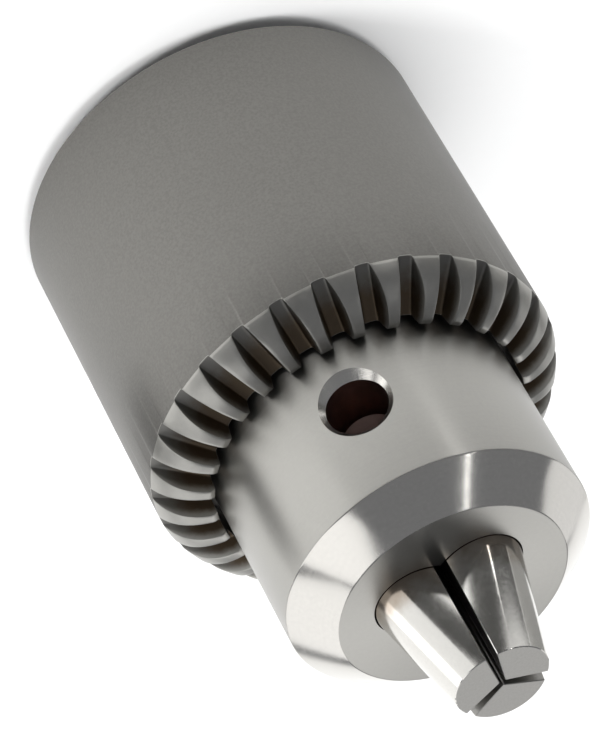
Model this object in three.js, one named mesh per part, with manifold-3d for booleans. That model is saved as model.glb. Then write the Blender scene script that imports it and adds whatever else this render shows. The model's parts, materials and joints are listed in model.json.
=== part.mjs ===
// A keyed three-jaw drill chuck, in millimetres. +Z runs along the chuck's axis from the spindle to the
// jaws, and the origin is the centre of the body's rear face. The jaws are closed. Turning the sleeve turns
// the split nut pressed into it, and the nut's conical thread drives the three slanted jaws through their
// toothed backs.
import * as THREE from 'three';
import { mergeVertices } from 'three/addons/utils/BufferGeometryUtils.js';
import Module from 'manifold-3d';

// Jaws
const JAW_COUNT = 3;
const JAW_AZIMUTH = -30; // degrees, of the first jaw
const JAW_SLANT = THREE.MathUtils.degToRad(16); // between a jaw's axis and the chuck's axis
const APEX_Z = 50.8; // where the jaws' axes meet
const JAW_R = 3.1;
const JAW_END = 31.4; // from the apex to the jaw's rear end, along its axis
const JAW_TIP_Z = 50.2;
const JAW_REAR_BEVEL = 0.3;
const JAW_FRONT_EXTRA = 4; // blank past the apex, cut off by the tip's plane
const JAW_SLEEVE_GAP = 0.15; // between an open jaw's back and the sleeve
const JAW_TRAVEL = 10.16; // eight turns of the nut
const GRIP_HALF_ANGLE = THREE.MathUtils.degToRad(56.5); // a wedge is a little under a third of a circle
const GRIP_EDGE_R = 0.25; // smallest drill is twice this across

// Jaw thread, shared by the jaws' teeth and the nut
const THREAD_PITCH = 1.27;
const RIDGE_HEIGHT = 0.62;
const RIDGE_TIP_HALF = 0.12;
const FLANK_SLOPE = Math.tan(THREE.MathUtils.degToRad(30));
const ROOT_CLEARANCE = 0.1;
const FLANK_CLEARANCE = 0.09;
const TIP_CLEARANCE = 0.12; // between a ridge's tip and the bottom of a jaw's groove
const TOOTH_CUTTER_TOP = 0.3; // how far a cutter stands out of the jaw's back
const TOOTHED_FROM = 17.2; // from the apex, along the jaw

// Split nut
const NUT_R = 13.6;
const NUT_REAR_Z = 19.7;
const NUT_FRONT_Z = 24.7;
const NUT_SPLIT_GAP = 0.1;
const NUT_EDGE = 0.25;
const NUT_TURNS = 7; // of the thread's cutter, longer than the nut at both ends

// Sleeve
const SLEEVE_R = 15;
const SLEEVE_REAR_Z = 1;
const SLEEVE_BORE_R = 13.7;
const SLEEVE_RELIEF_R = 14;
const SLEEVE_LIP_R = 11.4;
const SLEEVE_SHOULDER_Z = 24.8;
const SLEEVE_EDGE = 0.2;
const LIP_EDGE = 0.1;
const FRONT_LAND_REAR_Z = 16.6; // the bore is close to the body's two flanges and relieved between them
const REAR_LAND_FRONT_Z = 5.2;

// Bevel gear on the sleeve's front
const GEAR_TEETH = 30;
const CREST_OUTER_Z = 25.45;
const CREST_INNER_R = 11.8;
const CREST_INNER_Z = 28.3;
const CREST_BULGE = 0.42;
const CREST_PIECES = 5; // straight lines along a crest
const ROOT_OUTER_Z = 25.25;
const ROOT_RISE = 0.544; // rise of a groove's floor for each millimetre inwards
const ROOT_HALF_WIDTH = 0.5;
const GROOVE_SIDE_SLOPE = 0.306;
const GROOVE_HEIGHT = 4; // of the cutter, more than a tooth

// Body
const BODY_R = 11; // the nose barrel
const NOSE_Z = 42.2;
const NOSE_FACE_R = 8.23;
const NOSE_CHAMFER_Z = 39.8;
const NUT_GROOVE_R = 9.8;
const THRUST_R = 13.5;
const THRUST_REAR_Z = 17;
const NUT_END_GAP = 0.1;
const WAIST_R = 12;
const REAR_FLANGE_R = 13.6;
const REAR_FLANGE_Z = 1.4;
const HUB_R = 10;
const HUB_EDGE = 0.4;
const FLANGE_EDGE = 0.25;
const FLANGE_FRONT_Z = 4.4;
const FLANGE_BACK_SLOPE = 1; // length of the slope behind the rear flange
const THRUST_EDGE = 0.4;
const THRUST_BACK_SLOPE = 0.6;
const JAW_BORE_R = 3.18;
const JAW_BORE_END = 42.1; // from the apex, along the jaw
const DRILL_BORE_R = 3.3;
const DRILL_BORE_END_Z = 17;
const DRILL_POINT = Math.tan(THREE.MathUtils.degToRad(31)); // rise of a drilled cone over its radius

// Key holes
const KEY_HOLE_R = 2.15;
const KEY_HOLE_Z = 32.6;
const KEY_HOLE_BOTTOM_R = 6.3; // distance of the straight wall's end from the chuck's axis
const KEY_SINK_R = 2.7;
const KEY_AZIMUTH = JAW_AZIMUTH - 180 / JAW_COUNT; // midway between two jaws

// Spindle socket, 3/8-24 UNF
const SOCKET_PITCH = 25.4 / 24;
const SOCKET_MAJOR_R = 4.7625;
const SOCKET_MINOR_R = 4.235;
const SOCKET_THREAD_Z = 12.4;
const SOCKET_END_Z = 13.8;
const SOCKET_RELIEF_R = 4.95;
const SOCKET_MOUTH_R = 5.15;
const SOCKET_RELIEF_Z = 11.1;
const SOCKET_RELIEF_BEVEL = 0.5;
const SOCKET_CREST = SOCKET_PITCH / 4; // flat at the minor radius
const SOCKET_ROOT = SOCKET_PITCH / 8; // flat at the major radius
const SOCKET_FLANK = (SOCKET_PITCH - SOCKET_CREST - SOCKET_ROOT) / 2;
const SOCKET_LEAD_TURNS = 2; // of the thread's cutter, outside the mouth

const CLEAR = 1; // how far a cutter runs past the face that it cuts
const ROUND = 60; // sides of a large circle: two for each gear tooth
const SMALL_ROUND = 24;
const NUT_THREAD_SIDES = 40;
const SOCKET_THREAD_SIDES = 12;
const WELD = 1e-5; // vertices closer than this are one

// Colour and roughness of each steel
const BODY_STEEL = { color: 0xb9b7b1, roughness: 0.38 };
const SLEEVE_STEEL = { color: 0x9d9a93, roughness: 0.5 };
const NUT_STEEL = { color: 0x7d7a74, roughness: 0.45 };
const JAW_STEEL = { color: 0xc4c2bc, roughness: 0.25 };

const wasm = await Module();
wasm.setup();

/** A three.js geometry as a solid: vertices joined, and triangles that a pole has flattened left out. */
function solid(geometry) {
  const plain = geometry.clone();
  plain.deleteAttribute('normal');
  plain.deleteAttribute('uv');
  const joined = mergeVertices(plain, WELD);
  const corners = [];
  for (let i = 0; i < joined.index.count; i += 3) {
    const [a, b, c] = [joined.index.getX(i), joined.index.getX(i + 1), joined.index.getX(i + 2)];
    if (a !== b && b !== c && c !== a) corners.push(a, b, c);
  }
  return new wasm.Manifold(new wasm.Mesh({
    numProp: 3,
    vertProperties: new Float32Array(joined.attributes.position.array),
    triVerts: new Uint32Array(corners),
  }));
}

/** A solid as a three.js geometry with flat faces. */
function faceted(body) {
  const mesh = body.getMesh();
  const geometry = new THREE.BufferGeometry();
  geometry.setAttribute('position', new THREE.BufferAttribute(mesh.vertProperties, mesh.numProp));
  geometry.setIndex(new THREE.BufferAttribute(mesh.triVerts, 1));
  return geometry;
}

/** A profile of [radius, height] points, outer wall upwards, turned about +Z. */
function turned(profile, segments) {
  const points = profile.map(([r, z]) => new THREE.Vector2(r, z));
  return new THREE.LatheGeometry(points, segments).rotateX(Math.PI / 2);
}

/** A closed profile turned into a ring about +Z. */
function ring(profile, segments) {
  return turned([...profile, profile[0]], segments);
}

/** A plain cylinder about +Z between two heights. */
function cylinder(radius, low, high, segments) {
  return turned([[0, low], [radius, low], [radius, high], [0, high]], segments);
}

/** Moves a geometry made about +Z at the origin onto a jaw's axis, `from` millimetres behind the apex. */
function ontoJawAxis(geometry, from) {
  const [x, z] = [from * Math.sin(JAW_SLANT), APEX_Z - from * Math.cos(JAW_SLANT)];
  return geometry.rotateY(-JAW_SLANT).translate(x, 0, z);
}

/** Copies of a solid at equal angles about the chuck's axis, the first at `azimuth` degrees. */
function around(body, count, azimuth) {
  const copies = [];
  for (let i = 0; i < count; i += 1) copies.push(body.rotate([0, 0, azimuth + (360 * i) / count]));
  return copies;
}

/** A solid with each of a list of others cut out of it. */
function without(body, cutters) {
  return cutters.reduce((left, cutter) => left.subtract(cutter), body);
}

/**
 * A core with a right-hand screw surface, closed at both ends. The profile gives one pitch as [along, out]
 * points. The surface rises one pitch a turn along a line that leans by `slant` to the axis and passes
 * radius r at height z.
 */
function screwCore({ r, z, slant, pitch, profile, from, turns, columns }) {
  const step = profile.length;
  const last = turns * step;
  const vertices = [];
  for (let row = 0; row <= last; row += 1) {
    const [along, out] = profile[row % step];
    for (let column = 0; column < columns; column += 1) {
      const up = from + pitch * Math.floor(row / step) + along + (pitch * column) / columns;
      const radius = r - up * Math.sin(slant) + out * Math.cos(slant);
      const angle = (2 * Math.PI * column) / columns;
      const height = z + up * Math.cos(slant) + out * Math.sin(slant);
      vertices.push(radius * Math.cos(angle), radius * Math.sin(angle), height);
    }
  }
  const low = vertices.length / 3;
  vertices.push(0, 0, vertices[2], 0, 0, vertices[vertices.length - 1]);
  const at = (row, column) => (column < columns ? row * columns + column : (row + step) * columns);
  const triangles = [];
  for (let row = 0; row < last; row += 1) {
    const reach = row + 1 + step <= last ? columns : columns - 1;
    for (let column = 0; column < reach; column += 1) {
      const [a, b] = [at(row, column), at(row, column + 1)];
      const [c, d] = [at(row + 1, column + 1), at(row + 1, column)];
      triangles.push(a, b, c, a, c, d);
    }
  }
  for (let column = 0; column < columns; column += 1) {
    triangles.push(low, at(0, column + 1), at(0, column));
    if (column + 1 < columns) triangles.push(low + 1, at(last, column), at(last, column + 1));
  }
  for (let row = 0; row < step; row += 1) {
    triangles.push(low, at(row, 0), at(row + 1, 0));
    triangles.push(low + 1, at(last - row, columns - 1), at(last - row - 1, columns - 1));
  }
  triangles.push(low + 1, at(last - step, columns - 1), at(last, 0));
  const geometry = new THREE.BufferGeometry();
  geometry.setAttribute('position', new THREE.Float32BufferAttribute(vertices, 3));
  return geometry.setIndex(triangles);
}

/** Where the jaw thread's pitch line is measured from: the jaws' outer line at the middle of the nut. */
function threadReference() {
  const z = (NUT_REAR_Z + NUT_FRONT_Z) / 2;
  const r = (APEX_Z - z) * Math.tan(JAW_SLANT) + JAW_R / Math.cos(JAW_SLANT);
  const fromApex = (APEX_Z - z + JAW_R * Math.sin(JAW_SLANT)) / Math.cos(JAW_SLANT);
  return { r, z, fromApex };
}

/** The crest line of the gear from its outer to its inner edge, bowed outwards. */
function crestLine() {
  const points = [];
  for (let i = 0; i <= CREST_PIECES; i += 1) {
    const t = i / CREST_PIECES;
    const bulge = CREST_BULGE * 4 * t * (1 - t);
    const r = SLEEVE_R + (CREST_INNER_R - SLEEVE_R) * t + bulge;
    points.push([r, CREST_OUTER_Z + (CREST_INNER_Z - CREST_OUTER_Z) * t + bulge]);
  }
  return points;
}

/** One groove of the gear, a trapezoid carried along the groove's sloping floor, at azimuth 0. */
function gearGroove() {
  const top = ROOT_HALF_WIDTH + GROOVE_HEIGHT * GROOVE_SIDE_SLOPE;
  const section = new THREE.Shape([
    new THREE.Vector2(-ROOT_HALF_WIDTH, 0),
    new THREE.Vector2(ROOT_HALF_WIDTH, 0),
    new THREE.Vector2(top, GROOVE_HEIGHT),
    new THREE.Vector2(-top, GROOVE_HEIGHT),
  ]);
  const slope = Math.atan(ROOT_RISE);
  const inner = SLEEVE_LIP_R - CLEAR;
  const reach = (SLEEVE_R + CLEAR - inner) / Math.cos(slope);
  const groove = new THREE.ExtrudeGeometry(section, { depth: reach, bevelEnabled: false });
  const placed = new THREE.Matrix4().makeBasis(
    new THREE.Vector3(0, 1, 0),
    new THREE.Vector3(Math.sin(slope), 0, Math.cos(slope)),
    new THREE.Vector3(Math.cos(slope), 0, -Math.sin(slope)),
  );
  placed.setPosition(inner, 0, ROOT_OUTER_Z + (SLEEVE_R - inner) * ROOT_RISE);
  return groove.applyMatrix4(placed);
}

/** The smooth outer sleeve: a thin shell with a front lip that carries the bevel gear. */
function sleeve() {
  const relief = SLEEVE_RELIEF_R - SLEEVE_BORE_R;
  const profile = [
    [SLEEVE_R - SLEEVE_EDGE, SLEEVE_REAR_Z],
    [SLEEVE_R, SLEEVE_REAR_Z + SLEEVE_EDGE],
    ...crestLine(),
    [SLEEVE_LIP_R, CREST_INNER_Z - LIP_EDGE],
    [SLEEVE_LIP_R, SLEEVE_SHOULDER_Z],
    [SLEEVE_BORE_R, SLEEVE_SHOULDER_Z],
    [SLEEVE_BORE_R, FRONT_LAND_REAR_Z],
    [SLEEVE_RELIEF_R, FRONT_LAND_REAR_Z - relief],
    [SLEEVE_RELIEF_R, REAR_LAND_FRONT_Z + relief],
    [SLEEVE_BORE_R, REAR_LAND_FRONT_Z],
    [SLEEVE_BORE_R, SLEEVE_REAR_Z + SLEEVE_EDGE],
    [SLEEVE_BORE_R + SLEEVE_EDGE, SLEEVE_REAR_Z],
  ];
  const halfTooth = 180 / GEAR_TEETH; // a tooth stands in line with each key hole
  const grooves = around(solid(gearGroove()), GEAR_TEETH, KEY_AZIMUTH - halfTooth);
  return without(solid(ring(profile, ROUND)), grooves);
}

/** The ring that becomes the two nut halves, with its conical thread. */
function nutRing() {
  const { r, z } = threadReference();
  const rootHalf = RIDGE_TIP_HALF + (RIDGE_HEIGHT + ROOT_CLEARANCE) * FLANK_SLOPE;
  const core = screwCore({
    r,
    z,
    slant: JAW_SLANT,
    pitch: THREAD_PITCH,
    profile: [
      [-RIDGE_TIP_HALF, -RIDGE_HEIGHT],
      [RIDGE_TIP_HALF, -RIDGE_HEIGHT],
      [rootHalf, ROOT_CLEARANCE],
      [THREAD_PITCH - rootHalf, ROOT_CLEARANCE],
    ],
    from: (-THREAD_PITCH * (NUT_TURNS + 1)) / 2,
    turns: NUT_TURNS,
    columns: NUT_THREAD_SIDES,
  });
  const outer = turned([
    [0, NUT_REAR_Z],
    [NUT_R - NUT_EDGE, NUT_REAR_Z],
    [NUT_R, NUT_REAR_Z + NUT_EDGE],
    [NUT_R, NUT_FRONT_Z - NUT_EDGE],
    [NUT_R - NUT_EDGE, NUT_FRONT_Z],
    [0, NUT_FRONT_Z],
  ], ROUND);
  return solid(outer).subtract(solid(core));
}

/** One half of the nut, on the side of +X (side 1) or -X (side -1). */
function nutHalf(whole, side) {
  const size = 2 * (NUT_R + CLEAR);
  const keep = new THREE.BoxGeometry(size, size, size);
  keep.translate(side * (size + NUT_SPLIT_GAP) / 2, 0, NUT_REAR_Z);
  return whole.intersect(solid(keep));
}

/** A ring-shaped cutter for one groove of a jaw's toothed back, centred `along` the thread's line. */
function toothCutter(along) {
  const { r, z } = threadReference();
  const halfAt = (out) => RIDGE_TIP_HALF + FLANK_CLEARANCE + (out + RIDGE_HEIGHT) * FLANK_SLOPE;
  const [low, high] = [-RIDGE_HEIGHT - TIP_CLEARANCE, TOOTH_CUTTER_TOP];
  const corner = (up, out) => [
    r - up * Math.sin(JAW_SLANT) + out * Math.cos(JAW_SLANT),
    up * Math.cos(JAW_SLANT) + out * Math.sin(JAW_SLANT),
  ];
  const profile = [
    corner(-halfAt(low), low),
    corner(-halfAt(high), high),
    corner(halfAt(high), high),
    corner(halfAt(low), low),
  ];
  const lead = Math.atan((THREAD_PITCH * Math.cos(JAW_SLANT)) / (2 * Math.PI * r));
  const cutter = ring(profile, ROUND).rotateX(lead);
  return cutter.translate(-along * Math.sin(JAW_SLANT), 0, z + along * Math.cos(JAW_SLANT));
}

/** One jaw at azimuth 0, with its teeth set for the azimuth that it will be turned to. */
function jaw(azimuth) {
  const blank = turned([
    [0, -JAW_END],
    [JAW_R - JAW_REAR_BEVEL, -JAW_END],
    [JAW_R, -JAW_END + JAW_REAR_BEVEL],
    [JAW_R, JAW_FRONT_EXTRA],
    [0, JAW_FRONT_EXTRA],
  ], SMALL_ROUND);
  const far = SLEEVE_R;
  const wedge = new THREE.ExtrudeGeometry(new THREE.Shape([
    new THREE.Vector2(GRIP_EDGE_R, 0),
    new THREE.Vector2(GRIP_EDGE_R + far * Math.cos(GRIP_HALF_ANGLE), -far * Math.sin(GRIP_HALF_ANGLE)),
    new THREE.Vector2(far, -far * Math.sin(GRIP_HALF_ANGLE)),
    new THREE.Vector2(far, far * Math.sin(GRIP_HALF_ANGLE)),
    new THREE.Vector2(GRIP_EDGE_R + far * Math.cos(GRIP_HALF_ANGLE), far * Math.sin(GRIP_HALF_ANGLE)),
  ]), { depth: JAW_TIP_Z, bevelEnabled: false });
  const insideSleeve = cylinder(SLEEVE_RELIEF_R - JAW_SLEEVE_GAP, 0, JAW_TIP_Z + CLEAR, ROUND);
  insideSleeve.translate(-JAW_TRAVEL * Math.sin(JAW_SLANT), 0, 0);
  let body = solid(ontoJawAxis(blank, 0)).intersect(solid(wedge)).intersect(solid(insideSleeve));
  const { fromApex } = threadReference();
  const phase = azimuth / 360;
  const first = Math.ceil((fromApex - JAW_END - THREAD_PITCH / 2) / THREAD_PITCH - phase);
  const count = Math.floor((fromApex - TOOTHED_FROM) / THREAD_PITCH - phase) - first + 1;
  for (let i = 0; i < count; i += 1) {
    body = body.subtract(solid(toothCutter(THREAD_PITCH * (first + i + phase))));
  }
  return body;
}

/** The tapped hole for the spindle, with its mouth and its relief, as the hollow to cut. */
function spindleSocket() {
  const depth = SOCKET_MAJOR_R - SOCKET_MINOR_R;
  const threads = screwCore({
    r: SOCKET_MINOR_R,
    z: 0,
    slant: 0,
    pitch: SOCKET_PITCH,
    profile: [
      [0, 0],
      [SOCKET_CREST, 0],
      [SOCKET_CREST + SOCKET_FLANK, depth],
      [SOCKET_CREST + SOCKET_FLANK + SOCKET_ROOT, depth],
    ],
    from: -SOCKET_LEAD_TURNS * SOCKET_PITCH,
    turns: Math.round(SOCKET_THREAD_Z / SOCKET_PITCH) + SOCKET_LEAD_TURNS,
    columns: SOCKET_THREAD_SIDES,
  });
  const mouth = turned([
    [0, -CLEAR],
    [SOCKET_MOUTH_R + CLEAR, -CLEAR],
    [SOCKET_MINOR_R, SOCKET_MOUTH_R - SOCKET_MINOR_R],
    [0, SOCKET_MOUTH_R - SOCKET_MINOR_R],
  ], SMALL_ROUND);
  const relief = turned([
    [0, SOCKET_RELIEF_Z],
    [SOCKET_RELIEF_R, SOCKET_RELIEF_Z],
    [SOCKET_RELIEF_R, SOCKET_END_Z - SOCKET_RELIEF_BEVEL],
    [SOCKET_RELIEF_R - SOCKET_RELIEF_BEVEL, SOCKET_END_Z],
    [0, SOCKET_END_Z],
  ], SMALL_ROUND);
  return [solid(threads), solid(mouth), solid(relief)];
}

/** One key pilot hole with its countersink, pointing along +X at the key's height. */
function keyHole() {
  const sink = KEY_SINK_R - KEY_HOLE_R;
  const hole = turned([
    [0, KEY_HOLE_BOTTOM_R - KEY_HOLE_R * DRILL_POINT],
    [KEY_HOLE_R, KEY_HOLE_BOTTOM_R],
    [KEY_HOLE_R, BODY_R - sink],
    [KEY_SINK_R + CLEAR, BODY_R + CLEAR],
    [0, BODY_R + CLEAR],
  ], SMALL_ROUND);
  return solid(hole.rotateY(Math.PI / 2).translate(0, 0, KEY_HOLE_Z));
}

/** The body: rear flange, waist, thrust flange, nut groove and nose barrel in one turned piece. */
function body() {
  const blank = turned([
    [0, 0],
    [HUB_R - HUB_EDGE, 0],
    [HUB_R, HUB_EDGE],
    [HUB_R, REAR_FLANGE_Z],
    [REAR_FLANGE_R - FLANGE_EDGE, REAR_FLANGE_Z],
    [REAR_FLANGE_R, REAR_FLANGE_Z + FLANGE_EDGE],
    [REAR_FLANGE_R, FLANGE_FRONT_Z],
    [WAIST_R, FLANGE_FRONT_Z + FLANGE_BACK_SLOPE],
    [WAIST_R, THRUST_REAR_Z - THRUST_BACK_SLOPE],
    [THRUST_R - THRUST_EDGE, THRUST_REAR_Z],
    [THRUST_R, THRUST_REAR_Z + THRUST_EDGE],
    [THRUST_R, NUT_REAR_Z - NUT_END_GAP],
    [NUT_GROOVE_R, NUT_REAR_Z - NUT_END_GAP],
    [NUT_GROOVE_R, NUT_FRONT_Z + NUT_END_GAP],
    [BODY_R, NUT_FRONT_Z + NUT_END_GAP],
    [BODY_R, NOSE_CHAMFER_Z],
    [NOSE_FACE_R, NOSE_Z],
    [0, NOSE_Z],
  ], ROUND);
  const jawBore = solid(ontoJawAxis(cylinder(JAW_BORE_R, -JAW_BORE_END, JAW_FRONT_EXTRA, SMALL_ROUND), 0));
  const drillBore = turned([
    [0, DRILL_BORE_END_Z],
    [DRILL_BORE_R, DRILL_BORE_END_Z + DRILL_BORE_R * DRILL_POINT],
    [DRILL_BORE_R, NOSE_Z + CLEAR],
    [0, NOSE_Z + CLEAR],
  ], SMALL_ROUND);
  return without(solid(blank), [
    ...around(jawBore, JAW_COUNT, JAW_AZIMUTH),
    solid(drillBore),
    ...around(keyHole(), JAW_COUNT, KEY_AZIMUTH),
    ...spindleSocket(),
  ]);
}

/** A named mesh of a solid, in its own steel. */
function piece(name, made, steel) {
  const material = new THREE.MeshStandardMaterial({ ...steel, metalness: 1 });
  const mesh = new THREE.Mesh(faceted(made), material);
  mesh.name = name;
  return mesh;
}

const chuck = new THREE.Group();
chuck.add(piece('body', body(), BODY_STEEL));
chuck.add(piece('sleeve', sleeve(), SLEEVE_STEEL));
const nut = nutRing();
chuck.add(piece('nut_half_1', nutHalf(nut, 1), NUT_STEEL));
chuck.add(piece('nut_half_2', nutHalf(nut, -1), NUT_STEEL));
for (let i = 0; i < JAW_COUNT; i += 1) {
  const azimuth = JAW_AZIMUTH + (360 * i) / JAW_COUNT;
  const mesh = piece(`jaw_${i + 1}`, jaw(azimuth), JAW_STEEL);
  mesh.rotation.z = THREE.MathUtils.degToRad(azimuth);
  chuck.add(mesh);
}

export default chuck;
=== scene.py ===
"""The looks of a keyed drill chuck: fine surfaces for its seven pieces, their steels, and a pale studio.

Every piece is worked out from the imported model's own boxes and a few sizes, in metres, with +Z along the
axis.
"""

import json
import math

import bpy
import numpy as np
from bpy.props import FloatProperty, FloatVectorProperty, IntProperty, PointerProperty
from mathutils import Matrix, Vector


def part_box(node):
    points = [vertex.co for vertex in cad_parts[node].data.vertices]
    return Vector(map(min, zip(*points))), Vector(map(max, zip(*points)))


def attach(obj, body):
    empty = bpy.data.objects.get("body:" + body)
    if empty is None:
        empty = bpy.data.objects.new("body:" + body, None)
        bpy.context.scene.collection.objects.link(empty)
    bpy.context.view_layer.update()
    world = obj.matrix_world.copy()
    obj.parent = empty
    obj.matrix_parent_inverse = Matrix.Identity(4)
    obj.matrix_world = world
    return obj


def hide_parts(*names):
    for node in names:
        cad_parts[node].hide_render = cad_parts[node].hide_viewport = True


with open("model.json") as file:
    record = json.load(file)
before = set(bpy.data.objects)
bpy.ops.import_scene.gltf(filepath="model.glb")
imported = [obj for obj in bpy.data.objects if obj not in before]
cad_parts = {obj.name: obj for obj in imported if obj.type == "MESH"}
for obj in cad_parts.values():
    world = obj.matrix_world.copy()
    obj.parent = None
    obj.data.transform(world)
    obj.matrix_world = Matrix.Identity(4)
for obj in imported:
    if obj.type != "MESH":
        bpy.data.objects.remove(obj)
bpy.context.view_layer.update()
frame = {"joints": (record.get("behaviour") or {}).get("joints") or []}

bl_info = {
    "name": "Keyed drill chuck",
    "version": (1, 0, 0),
    "blender": (4, 5, 0),
    "location": "3D View > Sidebar > Chuck",
    "description": "Makes the fine surfaces and the steels of a keyed drill chuck",
    "category": "Object",
}

MM = 0.001
SLEEVE_LOW, SLEEVE_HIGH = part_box("sleeve")
BODY_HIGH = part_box("body")[1]
JAW_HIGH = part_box("jaw_1")[1]
NUT_LOW, NUT_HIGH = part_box("nut_half_1")
JAW_AXIS = [j["axis"] for j in frame["joints"] if j["name"] == "jaw_1_slide"][0]
JAW_STROKE = [j["range_m"][1] for j in frame["joints"] if j["name"] == "jaw_1_slide"][0]
JAW_AZIMUTHS = (-30.0, 90.0, 210.0)
KEY_AZIMUTHS = (-90.0, 30.0, 150.0)
JAW_COLUMNS = 120
FINE_COLUMNS = 256
BORE_COLUMNS = 128
HALF_THREAD_ANGLE = math.radians(30.0)
DRILL_POINT = math.tan(math.radians(31.0))
NUT_GAP = 0.1 * MM
REACH = 20 * MM
OVERRUN = 1 * MM
ROUND_STEPS = 4

# Sleeve: the edge's bevel, the lands of its bore and where the plain wall gives way to the gear
SLEEVE_EDGE = 0.2 * MM
FINE_EASE = 0.05 * MM
LAND_STEP = 0.3 * MM
FRONT_LAND_REAR = 16.6 * MM
REAR_LAND_FRONT = 5.2 * MM
SLEEVE_WALL = 8 * MM
LIP_INSIDE = 1.8 * MM
GROOVE_FILLET = 0.14 * MM
CREST_EASE = 0.07 * MM
CREST_FALL = 0.25

# Body: hub, rear flange, waist, thrust flange and nut groove
BODY_EASE = 0.08 * MM
CORNER_EASE = 0.1 * MM
HUB, HUB_EDGE = 10 * MM, 0.4 * MM
FLANGE, FLANGE_EDGE = 13.6 * MM, 0.25 * MM
FLANGE_REAR, FLANGE_FRONT, FLANGE_SLOPE = 1.4 * MM, 4.4 * MM, 1 * MM
WAIST = 12 * MM
THRUST, THRUST_EDGE = 13.5 * MM, 0.4 * MM
THRUST_REAR, THRUST_SLOPE = 17 * MM, 0.6 * MM
NUT_GROOVE = 9.8 * MM
DRILL_BORE_END = 18.98 * MM
KEY_HOLE_BOTTOM = 6.3 * MM
SINK_OVERLAP = 0.12 * MM
SINK_REACH = 0.6 * MM

# Studio
FLOOR_HALF, FLOOR_Z = 3.0, -0.02 * MM
LAMP_MIDDLE = Vector((0, 0, 28 * MM))
CAMERA_AIM = Vector((1.925, 0.078, 19.142)) * MM
SENSOR_WIDTH = 36.0
AIR, AIR_STRENGTH = (0.93, 0.95, 1.0, 1.0), 0.22

# Spindle socket: a 3/8-24 thread, its mouth and its relief
SOCKET_PITCH = 25.4 / 24 * MM
SOCKET_MINOR, SOCKET_MAJOR = 4.235 * MM, 4.7625 * MM
SOCKET_MOUTH = 5.15 * MM
SOCKET_TURNS = 14
SOCKET_COLUMNS = 96
RELIEF_RADIUS, RELIEF_LOW, RELIEF_HIGH, RELIEF_BEVEL = 4.95 * MM, 11.1 * MM, 13.8 * MM, 0.5 * MM

# Jaw thread: the nut's ridges and the cutters of the jaws' grooves
RIDGE_HALF, RIDGE = 0.12 * MM, 0.62 * MM
ROOT_CLEARANCE = 0.1 * MM
FLANK_CLEARANCE = 0.09 * MM
TIP_CLEARANCE = 0.12 * MM
CUTTER_TOP = 0.05 * MM
NUT_TURNS = 7
NUT_EASE = 0.25 * MM
HALF_SPLIT = 0.05 * MM
JAW_SLEEVE_GAP = 0.15 * MM
JAW_FRONT_EXTRA = 6 * MM
JAW_BORE_FRONT = 4 * MM
JAW_BORE_COLUMNS = 160


# Sizes and colours that a user would change


def length(name, text, default):
    """A size in metres."""
    return FloatProperty(name=name, description=text, default=default, min=0.0, unit="LENGTH", precision=5)


def colour(name, text, default):
    """A linear colour."""
    return FloatVectorProperty(
        name=name, description=text, default=default, subtype="COLOR", size=3, min=0.0, max=1.0
    )


def share(name, text, default):
    """A number from nought to one."""
    return FloatProperty(name=name, description=text, default=default, min=0.0, max=1.0)


def angle_setting(name, text, degrees):
    """An angle, given in degrees."""
    return FloatProperty(name=name, description=text, default=math.radians(degrees), subtype="ANGLE")


class SleeveSizes(bpy.types.PropertyGroup):
    """The turning sleeve and its bevel gear."""

    radius: length("Radius", "Outside radius of the sleeve", SLEEVE_HIGH.y)
    rear: length("Rear", "Height of the sleeve's rear edge", SLEEVE_LOW.z)
    bore: length("Bore", "Radius of the bore that holds the nut", 13.7 * MM)
    relief: length("Relief", "Radius of the bore between its two lands", 14.0 * MM)
    lip: length("Lip bore", "Radius of the front lip's bore", 11.4 * MM)
    shoulder: length("Shoulder", "Height of the shoulder behind the front lip", NUT_HIGH.z + NUT_GAP)
    teeth: IntProperty(name="Teeth", description="Teeth of the bevel gear", default=30, min=12, max=60)
    crest_outer: length("Crest outer height", "Height of a tooth's crest at the sleeve's edge", 25.45 * MM)
    crest_inner: length("Crest inner height", "Height of a tooth's crest at its inner end", SLEEVE_HIGH.z)
    crest_inner_radius: length("Crest inner radius", "Radius of a crest's inner end", 11.8 * MM)
    crest_bulge: length("Crest bulge", "How far a crest bows out of a straight line", 0.42 * MM)
    root_outer: length("Root outer height", "Height of a groove's floor at the sleeve's edge", 25.25 * MM)
    root_rise: share("Root rise", "Rise of the floor over its run inwards", 0.544)
    root_half: length("Root half width", "Half the width of a groove's floor", 0.5 * MM)
    side_slope: share("Side slope", "Lean of a groove's sides", 0.306)


class BodySizes(bpy.types.PropertyGroup):
    """The turned core."""

    barrel: length("Barrel radius", "Radius of the nose barrel", 11.0 * MM)
    nose: length("Nose height", "Height of the nose face", BODY_HIGH.z)
    nose_face: length("Nose face radius", "Outer radius of the flat nose face", 8.23 * MM)
    nose_chamfer: length("Nose chamfer height", "Height where the nose chamfer starts", 39.8 * MM)
    drill_bore: length("Drill bore radius", "Radius of the bore behind the jaws", 3.3 * MM)
    jaw_bore: length("Jaw bore radius", "Radius of the slanted bores", 3.18 * MM)
    jaw_bore_end: length("Jaw bore end", "From the apex to the end of a slanted bore", 42.1 * MM)
    key_hole: length("Key hole radius", "Radius of a key pilot hole", 2.15 * MM)
    key_height: length("Key hole height", "Height of the key pilot holes", 32.6 * MM)
    key_sink: length("Countersink radius", "Outer radius of a key hole's countersink", 2.68 * MM)


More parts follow.
